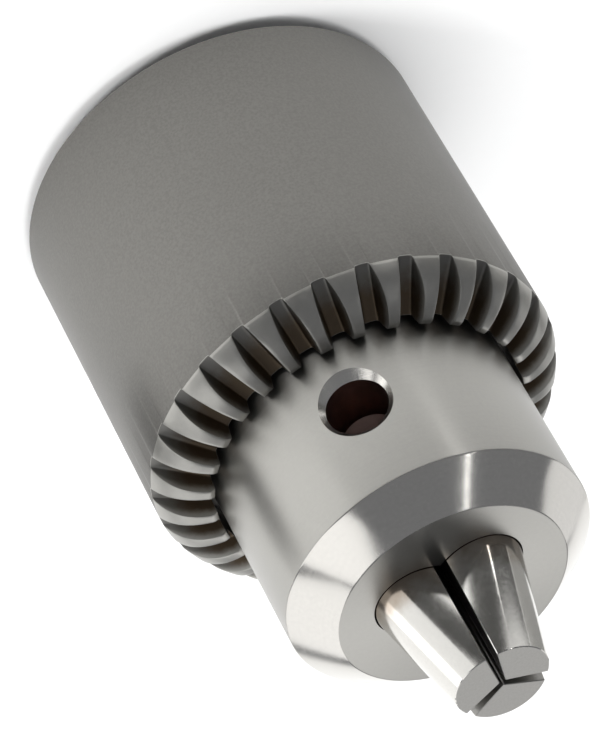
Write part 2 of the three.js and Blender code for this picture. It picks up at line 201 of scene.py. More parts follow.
class JawSizes(bpy.types.PropertyGroup):
    """The three slanted jaws and the thread that they share with the nut."""

    radius: length("Radius", "Radius of a jaw's rod", 3.1 * MM)
    apex: length("Apex height", "Height where the jaws' axes meet", 50.8 * MM)
    tip: length("Tip height", "Height of the jaws' tips when closed", JAW_HIGH.z)
    end: length("Length", "From the apex to a jaw's rear end", 31.4 * MM)
    grip_edge: length("Grip edge", "Distance of a gripping edge from the axis", 0.25 * MM)
    grip_angle: angle_setting("Grip half angle", "Half the angle of a gripping wedge", 56.5)
    pitch: length("Thread pitch", "Pitch of the jaw thread along a jaw", 1.27 * MM)
    toothed_from: length("Teeth from", "From the apex to a jaw's first tooth", 17.2 * MM)
    edge: length("Edge", "Width of the broken edges", 0.05 * MM)


class SteelColours(bpy.types.PropertyGroup):
    """The steels' colours and how rough they are."""

    sleeve: colour("Sleeve", "Bead-blasted sleeve", (0.185, 0.180, 0.168))
    gear: colour("Gear", "Milled gear crests", (0.42, 0.412, 0.385))
    # The gear groove colour below is painted shade, laid into the gear's grooves towards their floors and
    # inner ends.
    groove: colour("Gear groove", "Oily film in the gear's grooves", (0.13, 0.10, 0.07))
    body: colour("Body", "Turned body", (0.37, 0.362, 0.34))
    chamfer: colour("Nose chamfer", "Bright nose chamfer", (0.70, 0.68, 0.64))
    bore: colour("Bores", "Browned walls of the holes", (0.25, 0.17, 0.145))
    jaw: colour("Jaw", "Ground jaws", (0.72, 0.705, 0.67))
    # The jaw root colour below is painted shade where the jaws come out of the nose.
    jaw_root_shade: colour("Jaw stain", "Heat-browned oil at the jaws' roots", (0.30, 0.22, 0.15))
    nut: colour("Nut", "Machined nut", (0.42, 0.41, 0.39))
    blast_roughness: share("Sleeve roughness", "Roughness of the bead-blasted sleeve", 0.46)
    turned_roughness: share("Body roughness", "Roughness of the turned body", 0.33)
    ground_roughness: share("Jaw roughness", "Roughness of the ground jaws", 0.13)


class StudioSettings(bpy.types.PropertyGroup):
    """The floor, the lamps and the camera."""

    floor: colour("Floor", "Pale floor", (0.86, 0.86, 0.855))
    card: colour("Card", "Grey card that darkens the reflections on the camera's side", (0.22, 0.22, 0.215))
    lamp_power: FloatProperty(name="Lamp power", description="Scale of the lamps", default=1.0, min=0.0)
    azimuth: angle_setting("Camera azimuth", "Camera's place round the chuck", 2.31)
    elevation: angle_setting("Camera elevation", "Camera's height", 38.936)
    roll: angle_setting("Camera roll", "Turn about the line of sight", 151.0)
    distance: length("Camera distance", "From the aim point to the camera", 297.0 * MM)
    focal: FloatProperty(name="Focal length", description="Lens length in millimetres", default=207.8)


# Surfaces as whole arrays


def eased(corners, steps=ROUND_STEPS):
    """A profile with its corners rounded. Each corner c is (radius, height, ease), and gives way to the curve
    a(1-t)^2 + 2ct(1-t) + bt^2 between the points a and b that lie `ease` before and after it."""
    points = np.array([c[:2] for c in corners], float)
    ease = np.array([c[2] for c in corners], float)
    out = [points[:1]]
    for i in range(1, len(points) - 1):
        before, corner, after = points[i - 1 : i + 2]
        if ease[i] == 0:
            out.append(points[i : i + 1])
            continue
        a = corner + (before - corner) * ease[i] / np.linalg.norm(before - corner)
        b = corner + (after - corner) * ease[i] / np.linalg.norm(after - corner)
        t = np.linspace(0, 1, steps + 1)[:, None]
        out.append(a * (1 - t) ** 2 + 2 * corner * t * (1 - t) + b * t**2)
    out.append(points[-1:])
    return np.concatenate(out)


def grid_faces(rows, columns, close_rows=False):
    """The quads of a grid of rows by columns whose columns close on themselves, and whose rows may too."""
    row = np.arange(rows if close_rows else rows - 1)[:, None]
    column = np.arange(columns)[None, :]
    up, across = (row + 1) % rows, (column + 1) % columns
    corners = (row * columns + column, row * columns + across, up * columns + across, up * columns + column)
    return np.stack(np.broadcast_arrays(*corners), -1).reshape(-1, 4)


def spun(profile, columns):
    """The points (r cos a, r sin a, z) of a profile of (radius, height) turned about Z, row by row."""
    around = np.arange(columns) * 2 * np.pi / columns
    radius, height = profile[:, :1], np.repeat(profile[:, 1:], columns, 1)
    return np.stack([radius * np.cos(around), radius * np.sin(around), height], -1).reshape(-1, 3)


def turned(profile, columns):
    """A profile turned about Z. A radius of nought at either end becomes one pole point."""
    low, high = int(profile[0, 0] == 0), int(profile[-1, 0] == 0)
    inner = profile[low : len(profile) - high]
    points = spun(inner, columns)
    faces = grid_faces(len(inner), columns).tolist()
    start = np.arange(columns)
    after = (start + 1) % columns
    if low:
        points = np.vstack([points, [0, 0, profile[0, 1]]])
        faces += np.stack([np.full(columns, len(points) - 1), after, start], -1).tolist()
    if high:
        points = np.vstack([points, [0, 0, profile[-1, 1]]])
        top = (len(inner) - 1) * columns
        faces += np.stack([np.full(columns, len(points) - 1), start + top, after + top], -1).tolist()
    return points, faces


def ring(profile, columns):
    """A closed profile turned about Z: the last point joins the first."""
    return spun(profile, columns), grid_faces(len(profile), columns, close_rows=True).tolist()


def sheet(x, y, z):
    """An open sheet from arrays of rows by columns of x, y and z."""
    rows, columns = x.shape
    corner = (np.arange(rows - 1)[:, None] * columns + np.arange(columns - 1)).reshape(-1)
    faces = np.stack([corner, corner + 1, corner + columns + 1, corner + columns], -1)
    return np.stack([x, y, z], -1).reshape(-1, 3), faces.tolist()


def prism(section, low, high):
    """A flat section of (x, y) corners carried up Z from one height to another."""
    count = len(section)
    points = np.vstack([np.column_stack([section, np.full(count, z)]) for z in (low, high)])
    faces = grid_faces(2, count).tolist()
    faces += [list(range(count))[::-1], list(range(count, 2 * count))]
    return points, faces


def screw_core(radius, height, slant, pitch, profile, start, turns, columns):
    """A core with a right-hand screw surface. The profile holds one pitch as (along, out) points. A point at
    `up` along a line that leans inwards by `slant` lies at radius - up sin + out cos and height + up cos +
    out sin, and `up` grows by one pitch in each turn. Two fans from the axis close the ends."""
    step, last = len(profile), turns * len(profile)
    row = np.arange(last + 1)
    along, out = profile[row % step, 0], profile[row % step, 1]
    column = np.arange(columns)
    up = (start + pitch * (row // step) + along)[:, None] + pitch * column / columns
    r = radius - up * math.sin(slant) + out[:, None] * math.cos(slant)
    z = height + up * math.cos(slant) + out[:, None] * math.sin(slant)
    angle = 2 * np.pi * column / columns
    points = np.stack([r * np.cos(angle), r * np.sin(angle), z], -1).reshape(-1, 3)
    low, high = len(points), len(points) + 1
    points = np.vstack([points, [0, 0, points[0, 2]], [0, 0, points[-1, 2]]])
    a = row[:-1, None] * columns + column
    wraps = column == columns - 1
    b = np.where(wraps, (row[:-1, None] + step) * columns, a + 1)
    keep = ~wraps | (row[:-1, None] + 1 + step <= last)
    quads = np.stack([a, b, b + columns, a + columns], -1)[keep]
    ends = []
    first = np.append(column, step * columns)
    ends.append(np.stack([np.full(columns, low), first[1:], first[:-1]], -1))
    top = np.append(column[:-1], columns - 1) + last * columns
    ends.append(np.stack([np.full(columns - 1, high), top[:-1], top[1:]], -1))
    down = np.arange(step)
    ends.append(np.stack([np.full(step, low), down * columns, (down + 1) * columns], -1))
    side = (last - down) * columns + columns - 1
    ends.append(np.stack([np.full(step, high), side, side - columns], -1))
    ends.append(np.array([[high, (last - step) * columns + columns - 1, last * columns]]))
    return points, quads.tolist() + np.concatenate(ends).tolist()


def placed(shape, matrix):
    """A shape moved by a 4 by 4 matrix."""
    points, faces = shape
    turn = np.array(matrix)
    return points @ turn[:3, :3].T + turn[:3, 3], faces


def about_axis(shape, degrees):
    """A shape turned about the chuck's axis."""
    return placed(shape, Matrix.Rotation(math.radians(degrees), 4, "Z"))


# Blender objects from surfaces


def mesh_object(name, shape, steels, slot=0):
    """A shape as an object at the origin, every face in one slot of the list of steels."""
    mesh = bpy.data.meshes.new(name)
    mesh.from_pydata(shape[0], [], shape[1])
    for steel in steels:
        mesh.materials.append(steel)
    mesh.polygons.foreach_set("material_index", np.full(len(mesh.polygons), slot, np.int32))
    made = bpy.data.objects.new(name, mesh)
    bpy.context.scene.collection.objects.link(made)
    return made


def settled(made):
    """The object with its modifiers taken into its mesh."""
    graph = bpy.context.evaluated_depsgraph_get()
    mesh = bpy.data.meshes.new_from_object(made.evaluated_get(graph))
    made.modifiers.clear()
    old, made.data = made.data, mesh
    bpy.data.meshes.remove(old)
    return made


def carved(made, operation, shapes):
    """The object joined with or cut by shapes, each given with the slot that its faces take."""
    tools = []
    for shape, slot in shapes:
        tool = mesh_object("tool", shape, made.data.materials, slot)
        step = made.modifiers.new("carve", "BOOLEAN")
        step.operation, step.solver, step.object = operation, "MANIFOLD", tool
        tools.append(tool)
    settled(made)
    for tool in tools:
        mesh = tool.data
        bpy.data.objects.remove(tool)
        bpy.data.meshes.remove(mesh)
    if not made.data.polygons:
        raise RuntimeError(f"nothing is left of {made.name}")
    return made


def edges_broken(made, width, angle):
    """The object with nearly flat faces merged, then each edge sharper than an angle in degrees cut back by a
    narrow flat bevel.
    """
    flats = made.modifiers.new("flats", "DECIMATE")
    flats.decimate_type, flats.angle_limit = "DISSOLVE", math.radians(0.2)
    bevel = made.modifiers.new("edge", "BEVEL")
    bevel.width, bevel.segments, bevel.limit_method = width, 1, "ANGLE"
    bevel.angle_limit, bevel.use_clamp_overlap, bevel.loop_slide = math.radians(angle), False, False
    return settled(made)


def shaded(made, angle=32.0):
    """The object shaded smooth, with edges over an angle in degrees left crisp."""
    made.data.shade_smooth()
    made.data.set_sharp_from_angle(angle=math.radians(angle))
    return made


def finished(made, node, body):
    """The object as the visible piece of a CAD node."""
    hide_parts(node)
    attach(made, body)


# Steels


class Value:
    """A number socket. Sums and products of Values and plain numbers add the Math nodes that they need."""

    def __init__(self, tree, socket):
        self.tree = tree
        self.socket = socket

    def math(self, operation, first, second):
        return self.tree.add("ShaderNodeMath", {"operation": operation}, {0: first, 1: second})

    def __add__(self, other):
        return self.math("ADD", self, other)

    def __radd__(self, other):
        return self.math("ADD", other, self)

    def __sub__(self, other):
        return self.math("SUBTRACT", self, other)

    def __rsub__(self, other):
        return self.math("SUBTRACT", other, self)

    def __mul__(self, other):
        return self.math("MULTIPLY", self, other)

    def __rmul__(self, other):
        return self.math("MULTIPLY", other, self)


class Steel:
    """A material's node tree, made one node at a time."""

    def __init__(self, name):
        self.material = bpy.data.materials.new(name)
        self.material.use_nodes = True
        self.nodes = self.material.node_tree.nodes
        self.links = self.material.node_tree.links
        self.shader = self.nodes["Principled BSDF"]

    def add(self, kind, settings=None, inputs=None, output=0):
        """A node with its settings made first, then its sockets' values or links. Returns one output."""
        node = self.nodes.new(kind)
        for key, value in (settings or {}).items():
            if key == "stops":
                for element, (place, tone) in zip(node.color_ramp.elements, value):
                    element.position, element.color = place, tone
            else:
                setattr(node, key, value)
        self.fill(node, inputs or {})
        return Value(self, node.outputs[output])

    def fill(self, node, inputs):
        for key, value in inputs.items():
            if isinstance(value, Value):
                self.links.new(value.socket, node.inputs[key])
            else:
                node.inputs[key].default_value = value

    def place(self):
        """Object coordinates."""
        return self.add("ShaderNodeTexCoord", output="Object")

    def part(self, vector, axis):
        """One component of a vector."""
        return self.add("ShaderNodeSeparateXYZ", None, {0: vector}, axis)

    def noise(self, vector, scale, detail=2.0, roughness=0.5):
        """Fractal noise from about 0 to 1, `scale` features to the metre."""
        inputs = {"Vector": vector, "Scale": scale, "Detail": detail, "Roughness": roughness}
        return self.add("ShaderNodeTexNoise", None, inputs)

    def span(self, value, low, high, to_low=0.0, to_high=1.0):
        """A value carried from one range to another, and kept inside it."""
        inputs = {"Value": value, "From Min": low, "From Max": high, "To Min": to_low, "To Max": to_high}
        return self.add("ShaderNodeMapRange", {"clamp": True, "interpolation_type": "SMOOTHSTEP"}, inputs)

    def mix(self, factor, first, second):
        """One colour giving way to another."""
        inputs = {0: factor, 6: tone(first), 7: tone(second)}
        return self.add("ShaderNodeMix", {"data_type": "RGBA"}, inputs, 2)

    def bump(self, height, distance, strength=1.0):
        """The normal of a surface raised by height times distance."""
        inputs = {"Height": height, "Distance": distance, "Strength": strength}
        return self.add("ShaderNodeBump", None, inputs)

    def done(self, **inputs):
        """Sets the shader's sockets and gives back the material."""
        sockets = {key.replace("_", " ").title(): value for key, value in inputs.items()}
        sockets["Base Color"] = tone(sockets["Base Color"])
        self.fill(self.shader, sockets)
        return self.material


def tone(value):
    """A colour with its alpha, or a Value as it is."""
    return value if isinstance(value, Value) else (*value[:3], 1.0)


def darker(colour_value, share_left):
    """A colour times a number."""
    return tuple(c * share_left for c in colour_value[:3])


def blasted_steel(steels):
    """Fine bead-blasted steel: a dense grain in bump and tone, with faint cloudy wear."""
    s = Steel("blasted_steel")
    at = s.place()
    grain = s.noise(at, 5200.0, 2.0, 0.65)
    cloud = s.noise(at, 140.0, 3.0)
    shade = s.span(grain, 0.3, 0.72) * 0.6 + cloud * 0.4
    return s.done(
        base_color=s.mix(shade, darker(steels.sleeve, 0.84), darker(steels.sleeve, 1.14)),
        metallic=1.0,
        roughness=steels.blast_roughness + (cloud - 0.5) * 0.12 + (grain - 0.5) * 0.1,
        normal=s.bump(grain, 0.012 * MM, 0.8),
    )


def gear_steel(steels):
    """Milled gear steel: bright crests, and painted shade in the grooves, darker towards their floors and
    towards their inner ends by the barrel.
    """
    s = Steel("gear_steel")
    at = s.place()
    depth = s.add("ShaderNodeAttribute", {"attribute_name": "groove"}, None, "Fac")
    mottle = s.noise(at, 1500.0, 3.0, 0.6)
    x, y = s.part(at, 0), s.part(at, 1)
    radius = s.add("ShaderNodeMath", {"operation": "SQRT"}, {0: x * x + y * y})
    # Painted shade: darker the deeper a point lies in a groove.
    film_and_shade = s.span(depth + (mottle - 0.5) * 0.3, 0.06, 0.5)
    crest = s.mix(mottle, darker(steels.gear, 0.85), darker(steels.gear, 1.1))
    # Painted shade: the grooves darker towards their inner ends, where they meet the barrel; their outer
    # parts get a half-dark gear colour.
    inner_end_shade = 1.0 - s.span(radius + (mottle - 0.5) * 0.0015, 12.7 * MM, 14.7 * MM)
    groove_shade_colour = s.mix(inner_end_shade, darker(steels.gear, 0.5), steels.groove)
    return s.done(
        base_color=s.mix(film_and_shade, crest, groove_shade_colour),
        metallic=1.0,
        roughness=0.34 + mottle * 0.1 + film_and_shade * 0.08,
        normal=s.bump(s.noise(at, 4200.0, 2.0, 0.6), 0.006 * MM, 0.6),
    )


def lathe_marks(s, at, scale):
    """Fine rings left by a turning tool: noise along radius less height, which changes across every face."""
    x, y, z = s.part(at, 0), s.part(at, 1), s.part(at, 2)
    across = s.add("ShaderNodeMath", {"operation": "POWER"}, {0: x * x + y * y, 1: 0.5}) - z
    ring_place = s.add("ShaderNodeCombineXYZ", None, {"X": 0.0, "Y": 0.0, "Z": across})
    return s.noise(ring_place, scale, 3.0, 0.6)


def turned_steel(steels, name="turned_steel", colour_value=None, roughness=None, depth=0.006):
    """Turned steel: rings round the axis in bump, tone and roughness, over a faint grain."""
    s = Steel(name)
    at = s.place()
    rings = lathe_marks(s, at, 5200.0)
    grain = s.noise(at, 3800.0, 2.0, 0.6)
    base = colour_value or steels.body
    rough = roughness or steels.turned_roughness
    shade = rings * 0.5 + grain * 0.5
    return s.done(
        base_color=s.mix(shade, darker(base, 0.88), darker(base, 1.1)),
        metallic=1.0,
        roughness=rough + (rings - 0.5) * 0.12 + (grain - 0.5) * 0.08,
        anisotropic=0.6,
        anisotropic_rotation=0.25,
        normal=s.bump(rings * 0.7 + grain * 0.3, depth * MM, 0.7),
    )


def bore_steel(steels):
    """The browned, oily wall of a hole."""
    s = Steel("bore_steel")
    at = s.place()
    film_and_shade = s.noise(at, 900.0, 3.0, 0.6)
    return s.done(
        base_color=s.mix(film_and_shade, darker(steels.bore, 0.6), darker(steels.bore, 1.5)),
        metallic=1.0,
        roughness=0.26 + film_and_shade * 0.2,
        normal=s.bump(s.noise(at, 3000.0), 0.006 * MM, 0.6),
    )


def ground_steel(steels):
    """Ground jaw steel, with painted shade, darker and browner, where the jaws come out of the nose."""
    s = Steel("ground_steel")
    at = s.place()
    grain = s.noise(at, 4600.0, 2.0, 0.6)
    blot = s.noise(at, 420.0, 3.0, 0.6)
    height = s.part(at, 2) + (blot - 0.5) * 0.004
    # Painted shade: darker and browner below the nose face, where the jaws come out of their bores.
    jaw_root_shade = (1.0 - s.span(height, 41.8 * MM, 44.6 * MM)) * 0.75
    unshaded_jaw = s.mix(grain, darker(steels.jaw, 0.9), darker(steels.jaw, 1.08))
    return s.done(
        base_color=s.mix(jaw_root_shade, unshaded_jaw, steels.jaw_root_shade),
        metallic=1.0,
        roughness=steels.ground_roughness + (grain - 0.5) * 0.1 + (blot - 0.5) * 0.08,
        anisotropic=0.5,
        anisotropic_rotation=0.25,
        normal=s.bump(grain, 0.0015 * MM, 0.6),
    )


def tip_steel(steels):
    """The satin flats of the jaws: their tips and gripping faces."""
    s = Steel("tip_steel")
    at = s.place()
    grain = s.noise(at, 5200.0, 3.0, 0.65)
    return s.done(
        base_color=s.mix(grain, darker(steels.jaw, 0.34), darker(steels.jaw, 0.48)),
        metallic=1.0,
        roughness=0.36 + (grain - 0.5) * 0.16,
        normal=s.bump(grain, 0.006 * MM, 0.8),
    )


def nut_steel(steels):
    """Machined nut steel under a film of grease."""
    s = Steel("nut_steel")
    at = s.place()
    rings = lathe_marks(s, at, 3600.0)
    film_and_shade = s.noise(at, 500.0, 3.0)
    return s.done(
        base_color=s.mix(film_and_shade, darker(steels.nut, 0.7), darker(steels.nut, 1.15)),
        metallic=1.0,
        roughness=0.3 + film_and_shade * 0.18,
        normal=s.bump(rings, 0.006 * MM, 0.8),
    )


def floor_paper(studio):
    """Pale matt paper."""
    s = Steel("floor_paper")
    fibre = s.noise(s.place(), 900.0, 3.0, 0.6)
    return s.done(
        base_color=s.mix(fibre, darker(studio.floor, 0.985), darker(studio.floor, 1.0)),
        roughness=0.8,
        normal=s.bump(fibre, 0.01 * MM, 0.3),
    )


def card_paper(studio, share_left):
    """Grey matt card."""
    s = Steel("card_paper")
    fibre = s.noise(s.place(), 900.0, 3.0, 0.6)
    return s.done(
        base_color=s.mix(fibre, darker(studio.card, share_left * 0.9), darker(studio.card, share_left)),
        roughness=0.9,
        normal=s.bump(fibre, 0.01 * MM, 0.3),
    )


# The pieces


def gear_angles(sizes, radius, floor_steps=3, side_steps=6, land_steps=3):
    """The half pitch of one tooth as angles, for an array of radii: closer together where the floor meets a
    side and where a side meets the crest, whose places change with the radius."""
    height = crest_height(sizes, radius) - root_height(sizes, radius)
    run = 1.0 / math.hypot(1.0, sizes.root_rise)
    crest_half = sizes.root_half + height * run * sizes.side_slope
    half_pitch = np.pi / sizes.teeth
    floor_end = np.arcsin(sizes.root_half / radius)
    side_end = np.minimum(np.arcsin(crest_half / radius), half_pitch * 0.93)
    ease = np.sin(np.linspace(0, np.pi / 2, floor_steps + 1))
    floor = floor_end[:, None] * ease[:-1]
    wave = (1 - np.cos(np.linspace(0, np.pi, side_steps + 1))) / 2
    side = floor_end[:, None] + (side_end - floor_end)[:, None] * wave[:-1]
    ease = 1 - np.cos(np.linspace(0, np.pi / 2, land_steps + 1))
    land = side_end[:, None] + (half_pitch - side_end)[:, None] * ease
    return np.concatenate([floor, side, land], 1)


def crest_height(sizes, radius):
    """Height of the teeth's crests. A crest runs from its outer to its inner end as a line bowed outwards by
    4 bulge t (1 - t) in both radius and height, so t comes from the radius by a quadratic. Inside the inner
    end it falls a little."""
    reach = sizes.radius - sizes.crest_inner_radius
    bow = 4 * sizes.crest_bulge
    run = np.maximum(sizes.radius - radius, 0)
    t = np.minimum((np.sqrt((reach - bow) ** 2 + 4 * bow * run) - (reach - bow)) / (2 * bow), 1)
    bowed = sizes.crest_outer + (sizes.crest_inner - sizes.crest_outer) * t + bow * t * (1 - t)
    inside = np.maximum(sizes.crest_inner_radius - radius, 0)
    return bowed - inside * CREST_FALL


def root_height(sizes, across):
    """Height of a groove's floor at a distance from the chuck's axis along the groove."""
    return sizes.root_outer + (sizes.radius - across) * sizes.root_rise


def soft_least(a, b, ease):
    """The lesser of two heights, rounded where they meet."""
    return 0.5 * (a + b - np.sqrt((a - b) ** 2 + ease**2))


def gear_height(sizes, radius, angle):
    """Height of the gear's face. Across the groove nearest to the point, the floor is level, then a side
    rises by 1 / side_slope; the crest cuts it off. The corners are rounded."""
    pitch = 2 * np.pi / sizes.teeth
    off = (angle + pitch / 2) % pitch - pitch / 2
    along, aside = radius * np.cos(off), np.abs(radius * np.sin(off))
    rise = (aside - sizes.root_half) / sizes.side_slope * math.hypot(1.0, sizes.root_rise)
    rise = 0.5 * (rise + np.sqrt(rise**2 + GROOVE_FILLET**2)) - GROOVE_FILLET * 0.06
    groove = root_height(sizes, along) + rise
    return soft_least(crest_height(sizes, radius), groove, CREST_EASE)


def sleeve_rows(sizes):
    """The plain parts of the sleeve's outline, as (radius, height) rows: up the outside to where the gear's
    rows begin, and from the front lip down the bore."""
    low, wall, bore, relief, lip = sizes.rear, sizes.radius, sizes.bore, sizes.relief, sizes.lip
    shoulder = sizes.shoulder
    outside = eased(
        [
            (bore + SLEEVE_EDGE, low, 0),
            (wall - SLEEVE_EDGE, low, FINE_EASE),
            (wall, low + SLEEVE_EDGE, FINE_EASE),
            (wall, low + SLEEVE_WALL, 0),
        ]
    )[1:]
    inside = eased(
        [
            (lip, shoulder + LIP_INSIDE, 0),
            (lip, shoulder, FINE_EASE),
            (bore, shoulder, 3 * FINE_EASE),
            (bore, FRONT_LAND_REAR, FINE_EASE),
            (relief, FRONT_LAND_REAR - LAND_STEP, FINE_EASE),
            (relief, REAR_LAND_FRONT + LAND_STEP, FINE_EASE),
            (bore, REAR_LAND_FRONT, FINE_EASE),
            (bore, low + SLEEVE_EDGE, FINE_EASE),
            (bore + SLEEVE_EDGE, low, 0.6 * FINE_EASE),
            (wall - SLEEVE_EDGE, low, 0),
        ]
    )[:-1]
    return outside, inside


def sleeve_shape(sizes):
    """The sleeve as one closed grid, its columns following the gear's floors, sides and crests."""
    outside, inside = sleeve_rows(sizes)
    first, last = sizes.radius - 0.03 * MM, sizes.lip + 0.06 * MM
    face_radius = first + (last - first) * np.linspace(0, 1, 34) ** 1.35
    half = gear_angles(sizes, np.concatenate([[sizes.radius], face_radius, [sizes.lip]]))
    one = np.concatenate([-half[:, :0:-1], half[:, :-1]], 1)
    pitch = 2 * np.pi / sizes.teeth
    groove = math.radians(KEY_AZIMUTHS[0]) + pitch / 2
    columns = (groove + one[:, None, :] + pitch * np.arange(sizes.teeth)[:, None]).reshape(len(one), -1)
    near = (one[:, None, :] + 0 * np.arange(sizes.teeth)[:, None]).reshape(len(one), -1)
    wide = columns.shape[1]
    radius_rows, height_rows, angle_rows, depth_rows = [], [], [], []

    def row(radius, height, angle, depth=None):
        radius_rows.append(np.broadcast_to(radius, wide))
        height_rows.append(np.broadcast_to(height, wide))
        angle_rows.append(angle)
        depth_rows.append(np.zeros(wide) if depth is None else depth)

    for radius, height in outside:
        row(radius, height, columns[0])
    top = gear_height(sizes, np.full(wide, sizes.radius), near[0])
    wall = sizes.rear + SLEEVE_WALL
    for share_up in np.linspace(0.25, 1.0, 3):
        row(sizes.radius, wall + (top - FINE_EASE - wall) * share_up, columns[0])
    row(sizes.radius - 0.015 * MM, top - 0.012 * MM, columns[0])
    for i, radius in enumerate(face_radius, 1):
        height = gear_height(sizes, np.full(wide, radius), near[i])
        crest = crest_height(sizes, np.full(wide, radius))
        room = np.maximum(crest - root_height(sizes, radius), 0.25 * MM)
        row(radius, height, columns[i], np.clip((crest - height) / room, 0, 1))
    last = gear_height(sizes, np.full(wide, sizes.lip), near[-1])
    row(sizes.lip + 0.012 * MM, last - 0.015 * MM, columns[-1])
    row(sizes.lip, last - FINE_EASE, columns[-1])
    for radius, height in inside:
        row(radius, height, columns[-1])
    radius, height, angle = (np.array(rows) for rows in (radius_rows, height_rows, angle_rows))
    points = np.stack([radius * np.cos(angle), radius * np.sin(angle), height], -1).reshape(-1, 3)
    faces = grid_faces(len(radius), wide, close_rows=True)
    gear_first, gear_last = len(outside) + 2, len(outside) + 4 + len(face_radius)
    face_row = np.repeat(np.arange(len(radius)), wide)
    slots = ((face_row >= gear_first) & (face_row < gear_last)).astype(np.int32)
    return points, faces, slots, np.array(depth_rows).reshape(-1)


def jaw_frame(sizes, from_apex=0.0):
    """Places a shape made along Z on a jaw's axis at azimuth 0, a distance behind the apex."""
    slant = math.acos(-JAW_AXIS[2])
    origin = Vector((from_apex * math.sin(slant), 0.0, sizes.apex - from_apex * math.cos(slant)))
    return Matrix.Translation(origin) @ Matrix.Rotation(-slant, 4, "Y")


def thread_reference(sizes):
    """Radius, height and distance from the apex of the jaws' outer line at the nut's middle."""
    slant = math.acos(-JAW_AXIS[2])
    height = (NUT_LOW.z + NUT_HIGH.z) / 2
    radius = (sizes.apex - height) * math.tan(slant) + sizes.radius / math.cos(slant)
    from_apex = (sizes.apex - height + sizes.radius * math.sin(slant)) / math.cos(slant)
    return slant, radius, height, from_apex


def rod(radius, low, high, columns, ease=0.0):
    """A round rod about Z with eased ends."""
    return turned(eased([(0, low, 0), (radius, low, ease), (radius, high, ease), (0, high, 0)]), columns)


def drilled(radius, bottom, high, columns):
    """A drilled hole as a solid: a cone of the drill's point, then a straight wall."""
    profile = [(0, bottom - radius * DRILL_POINT), (radius, bottom), (radius, high), (0, high)]
    return turned(np.array(profile), columns)


def body_profile(sizes):
    """The body's outline from the middle of its rear face to the middle of its nose."""
    nut_low, nut_high = NUT_LOW.z - NUT_GAP, NUT_HIGH.z + NUT_GAP
    return eased(
        [
            (0, 0, 0),
            (HUB - HUB_EDGE, 0, BODY_EASE),
            (HUB, HUB_EDGE, BODY_EASE),
            (HUB, FLANGE_REAR, CORNER_EASE),
            (FLANGE - FLANGE_EDGE, FLANGE_REAR, BODY_EASE),
            (FLANGE, FLANGE_REAR + FLANGE_EDGE, BODY_EASE),
            (FLANGE, FLANGE_FRONT, CORNER_EASE),
            (WAIST, FLANGE_FRONT + FLANGE_SLOPE, CORNER_EASE),
            (WAIST, THRUST_REAR - THRUST_SLOPE, CORNER_EASE),
            (THRUST - THRUST_EDGE, THRUST_REAR, CORNER_EASE),
            (THRUST, THRUST_REAR + THRUST_EDGE, CORNER_EASE),
            (THRUST, nut_low, CORNER_EASE),
            (NUT_GROOVE, nut_low, CORNER_EASE),
            (NUT_GROOVE, nut_high, CORNER_EASE),
            (sizes.barrel, nut_high, CORNER_EASE),
            (sizes.barrel, sizes.nose_chamfer, BODY_EASE),
            (sizes.nose_face, sizes.nose, BODY_EASE),
            (0, sizes.nose, 0),
        ]
    )


def socket_shapes():
    """The tapped spindle socket: its screw core, its bevelled mouth and the relief behind the thread."""
    flat, depth = SOCKET_PITCH / 8, SOCKET_MAJOR - SOCKET_MINOR
    profile = np.array([(0, 0), (2 * flat, 0), (4.5 * flat, depth), (5.5 * flat, depth)])
    start = -2 * SOCKET_PITCH
    core = screw_core(SOCKET_MINOR, 0.0, 0.0, SOCKET_PITCH, profile, start, SOCKET_TURNS, SOCKET_COLUMNS)
    inner = SOCKET_MOUTH - SOCKET_MINOR
    mouth = [(0, -OVERRUN), (SOCKET_MOUTH + OVERRUN, -OVERRUN), (SOCKET_MINOR, inner), (0, inner)]
    relief = [
        (0, RELIEF_LOW),
        (RELIEF_RADIUS, RELIEF_LOW),
        (RELIEF_RADIUS, RELIEF_HIGH - RELIEF_BEVEL),
        (RELIEF_RADIUS - RELIEF_BEVEL, RELIEF_HIGH),
        (0, RELIEF_HIGH),
    ]
    return core, turned(np.array(mouth), SOCKET_COLUMNS), turned(np.array(relief), SOCKET_COLUMNS)


def key_hole_shapes(sizes):
    """One key pilot hole along +X: its drilled wall, and its countersink."""
    across = Matrix.Translation((0, 0, sizes.key_height)) @ Matrix.Rotation(math.pi / 2, 4, "Y")
    sink = sizes.key_sink - sizes.key_hole
    wall = drilled(sizes.key_hole, KEY_HOLE_BOTTOM, sizes.barrel + OVERRUN, BORE_COLUMNS)
    low, high = sizes.barrel - sink - SINK_OVERLAP, sizes.barrel + SINK_REACH - SINK_OVERLAP
    cone = np.array([(0, low), (sizes.key_hole, low), (sizes.key_sink + SINK_REACH, high), (0, high)])
    return placed(wall, across), placed(turned(cone, BORE_COLUMNS), across)


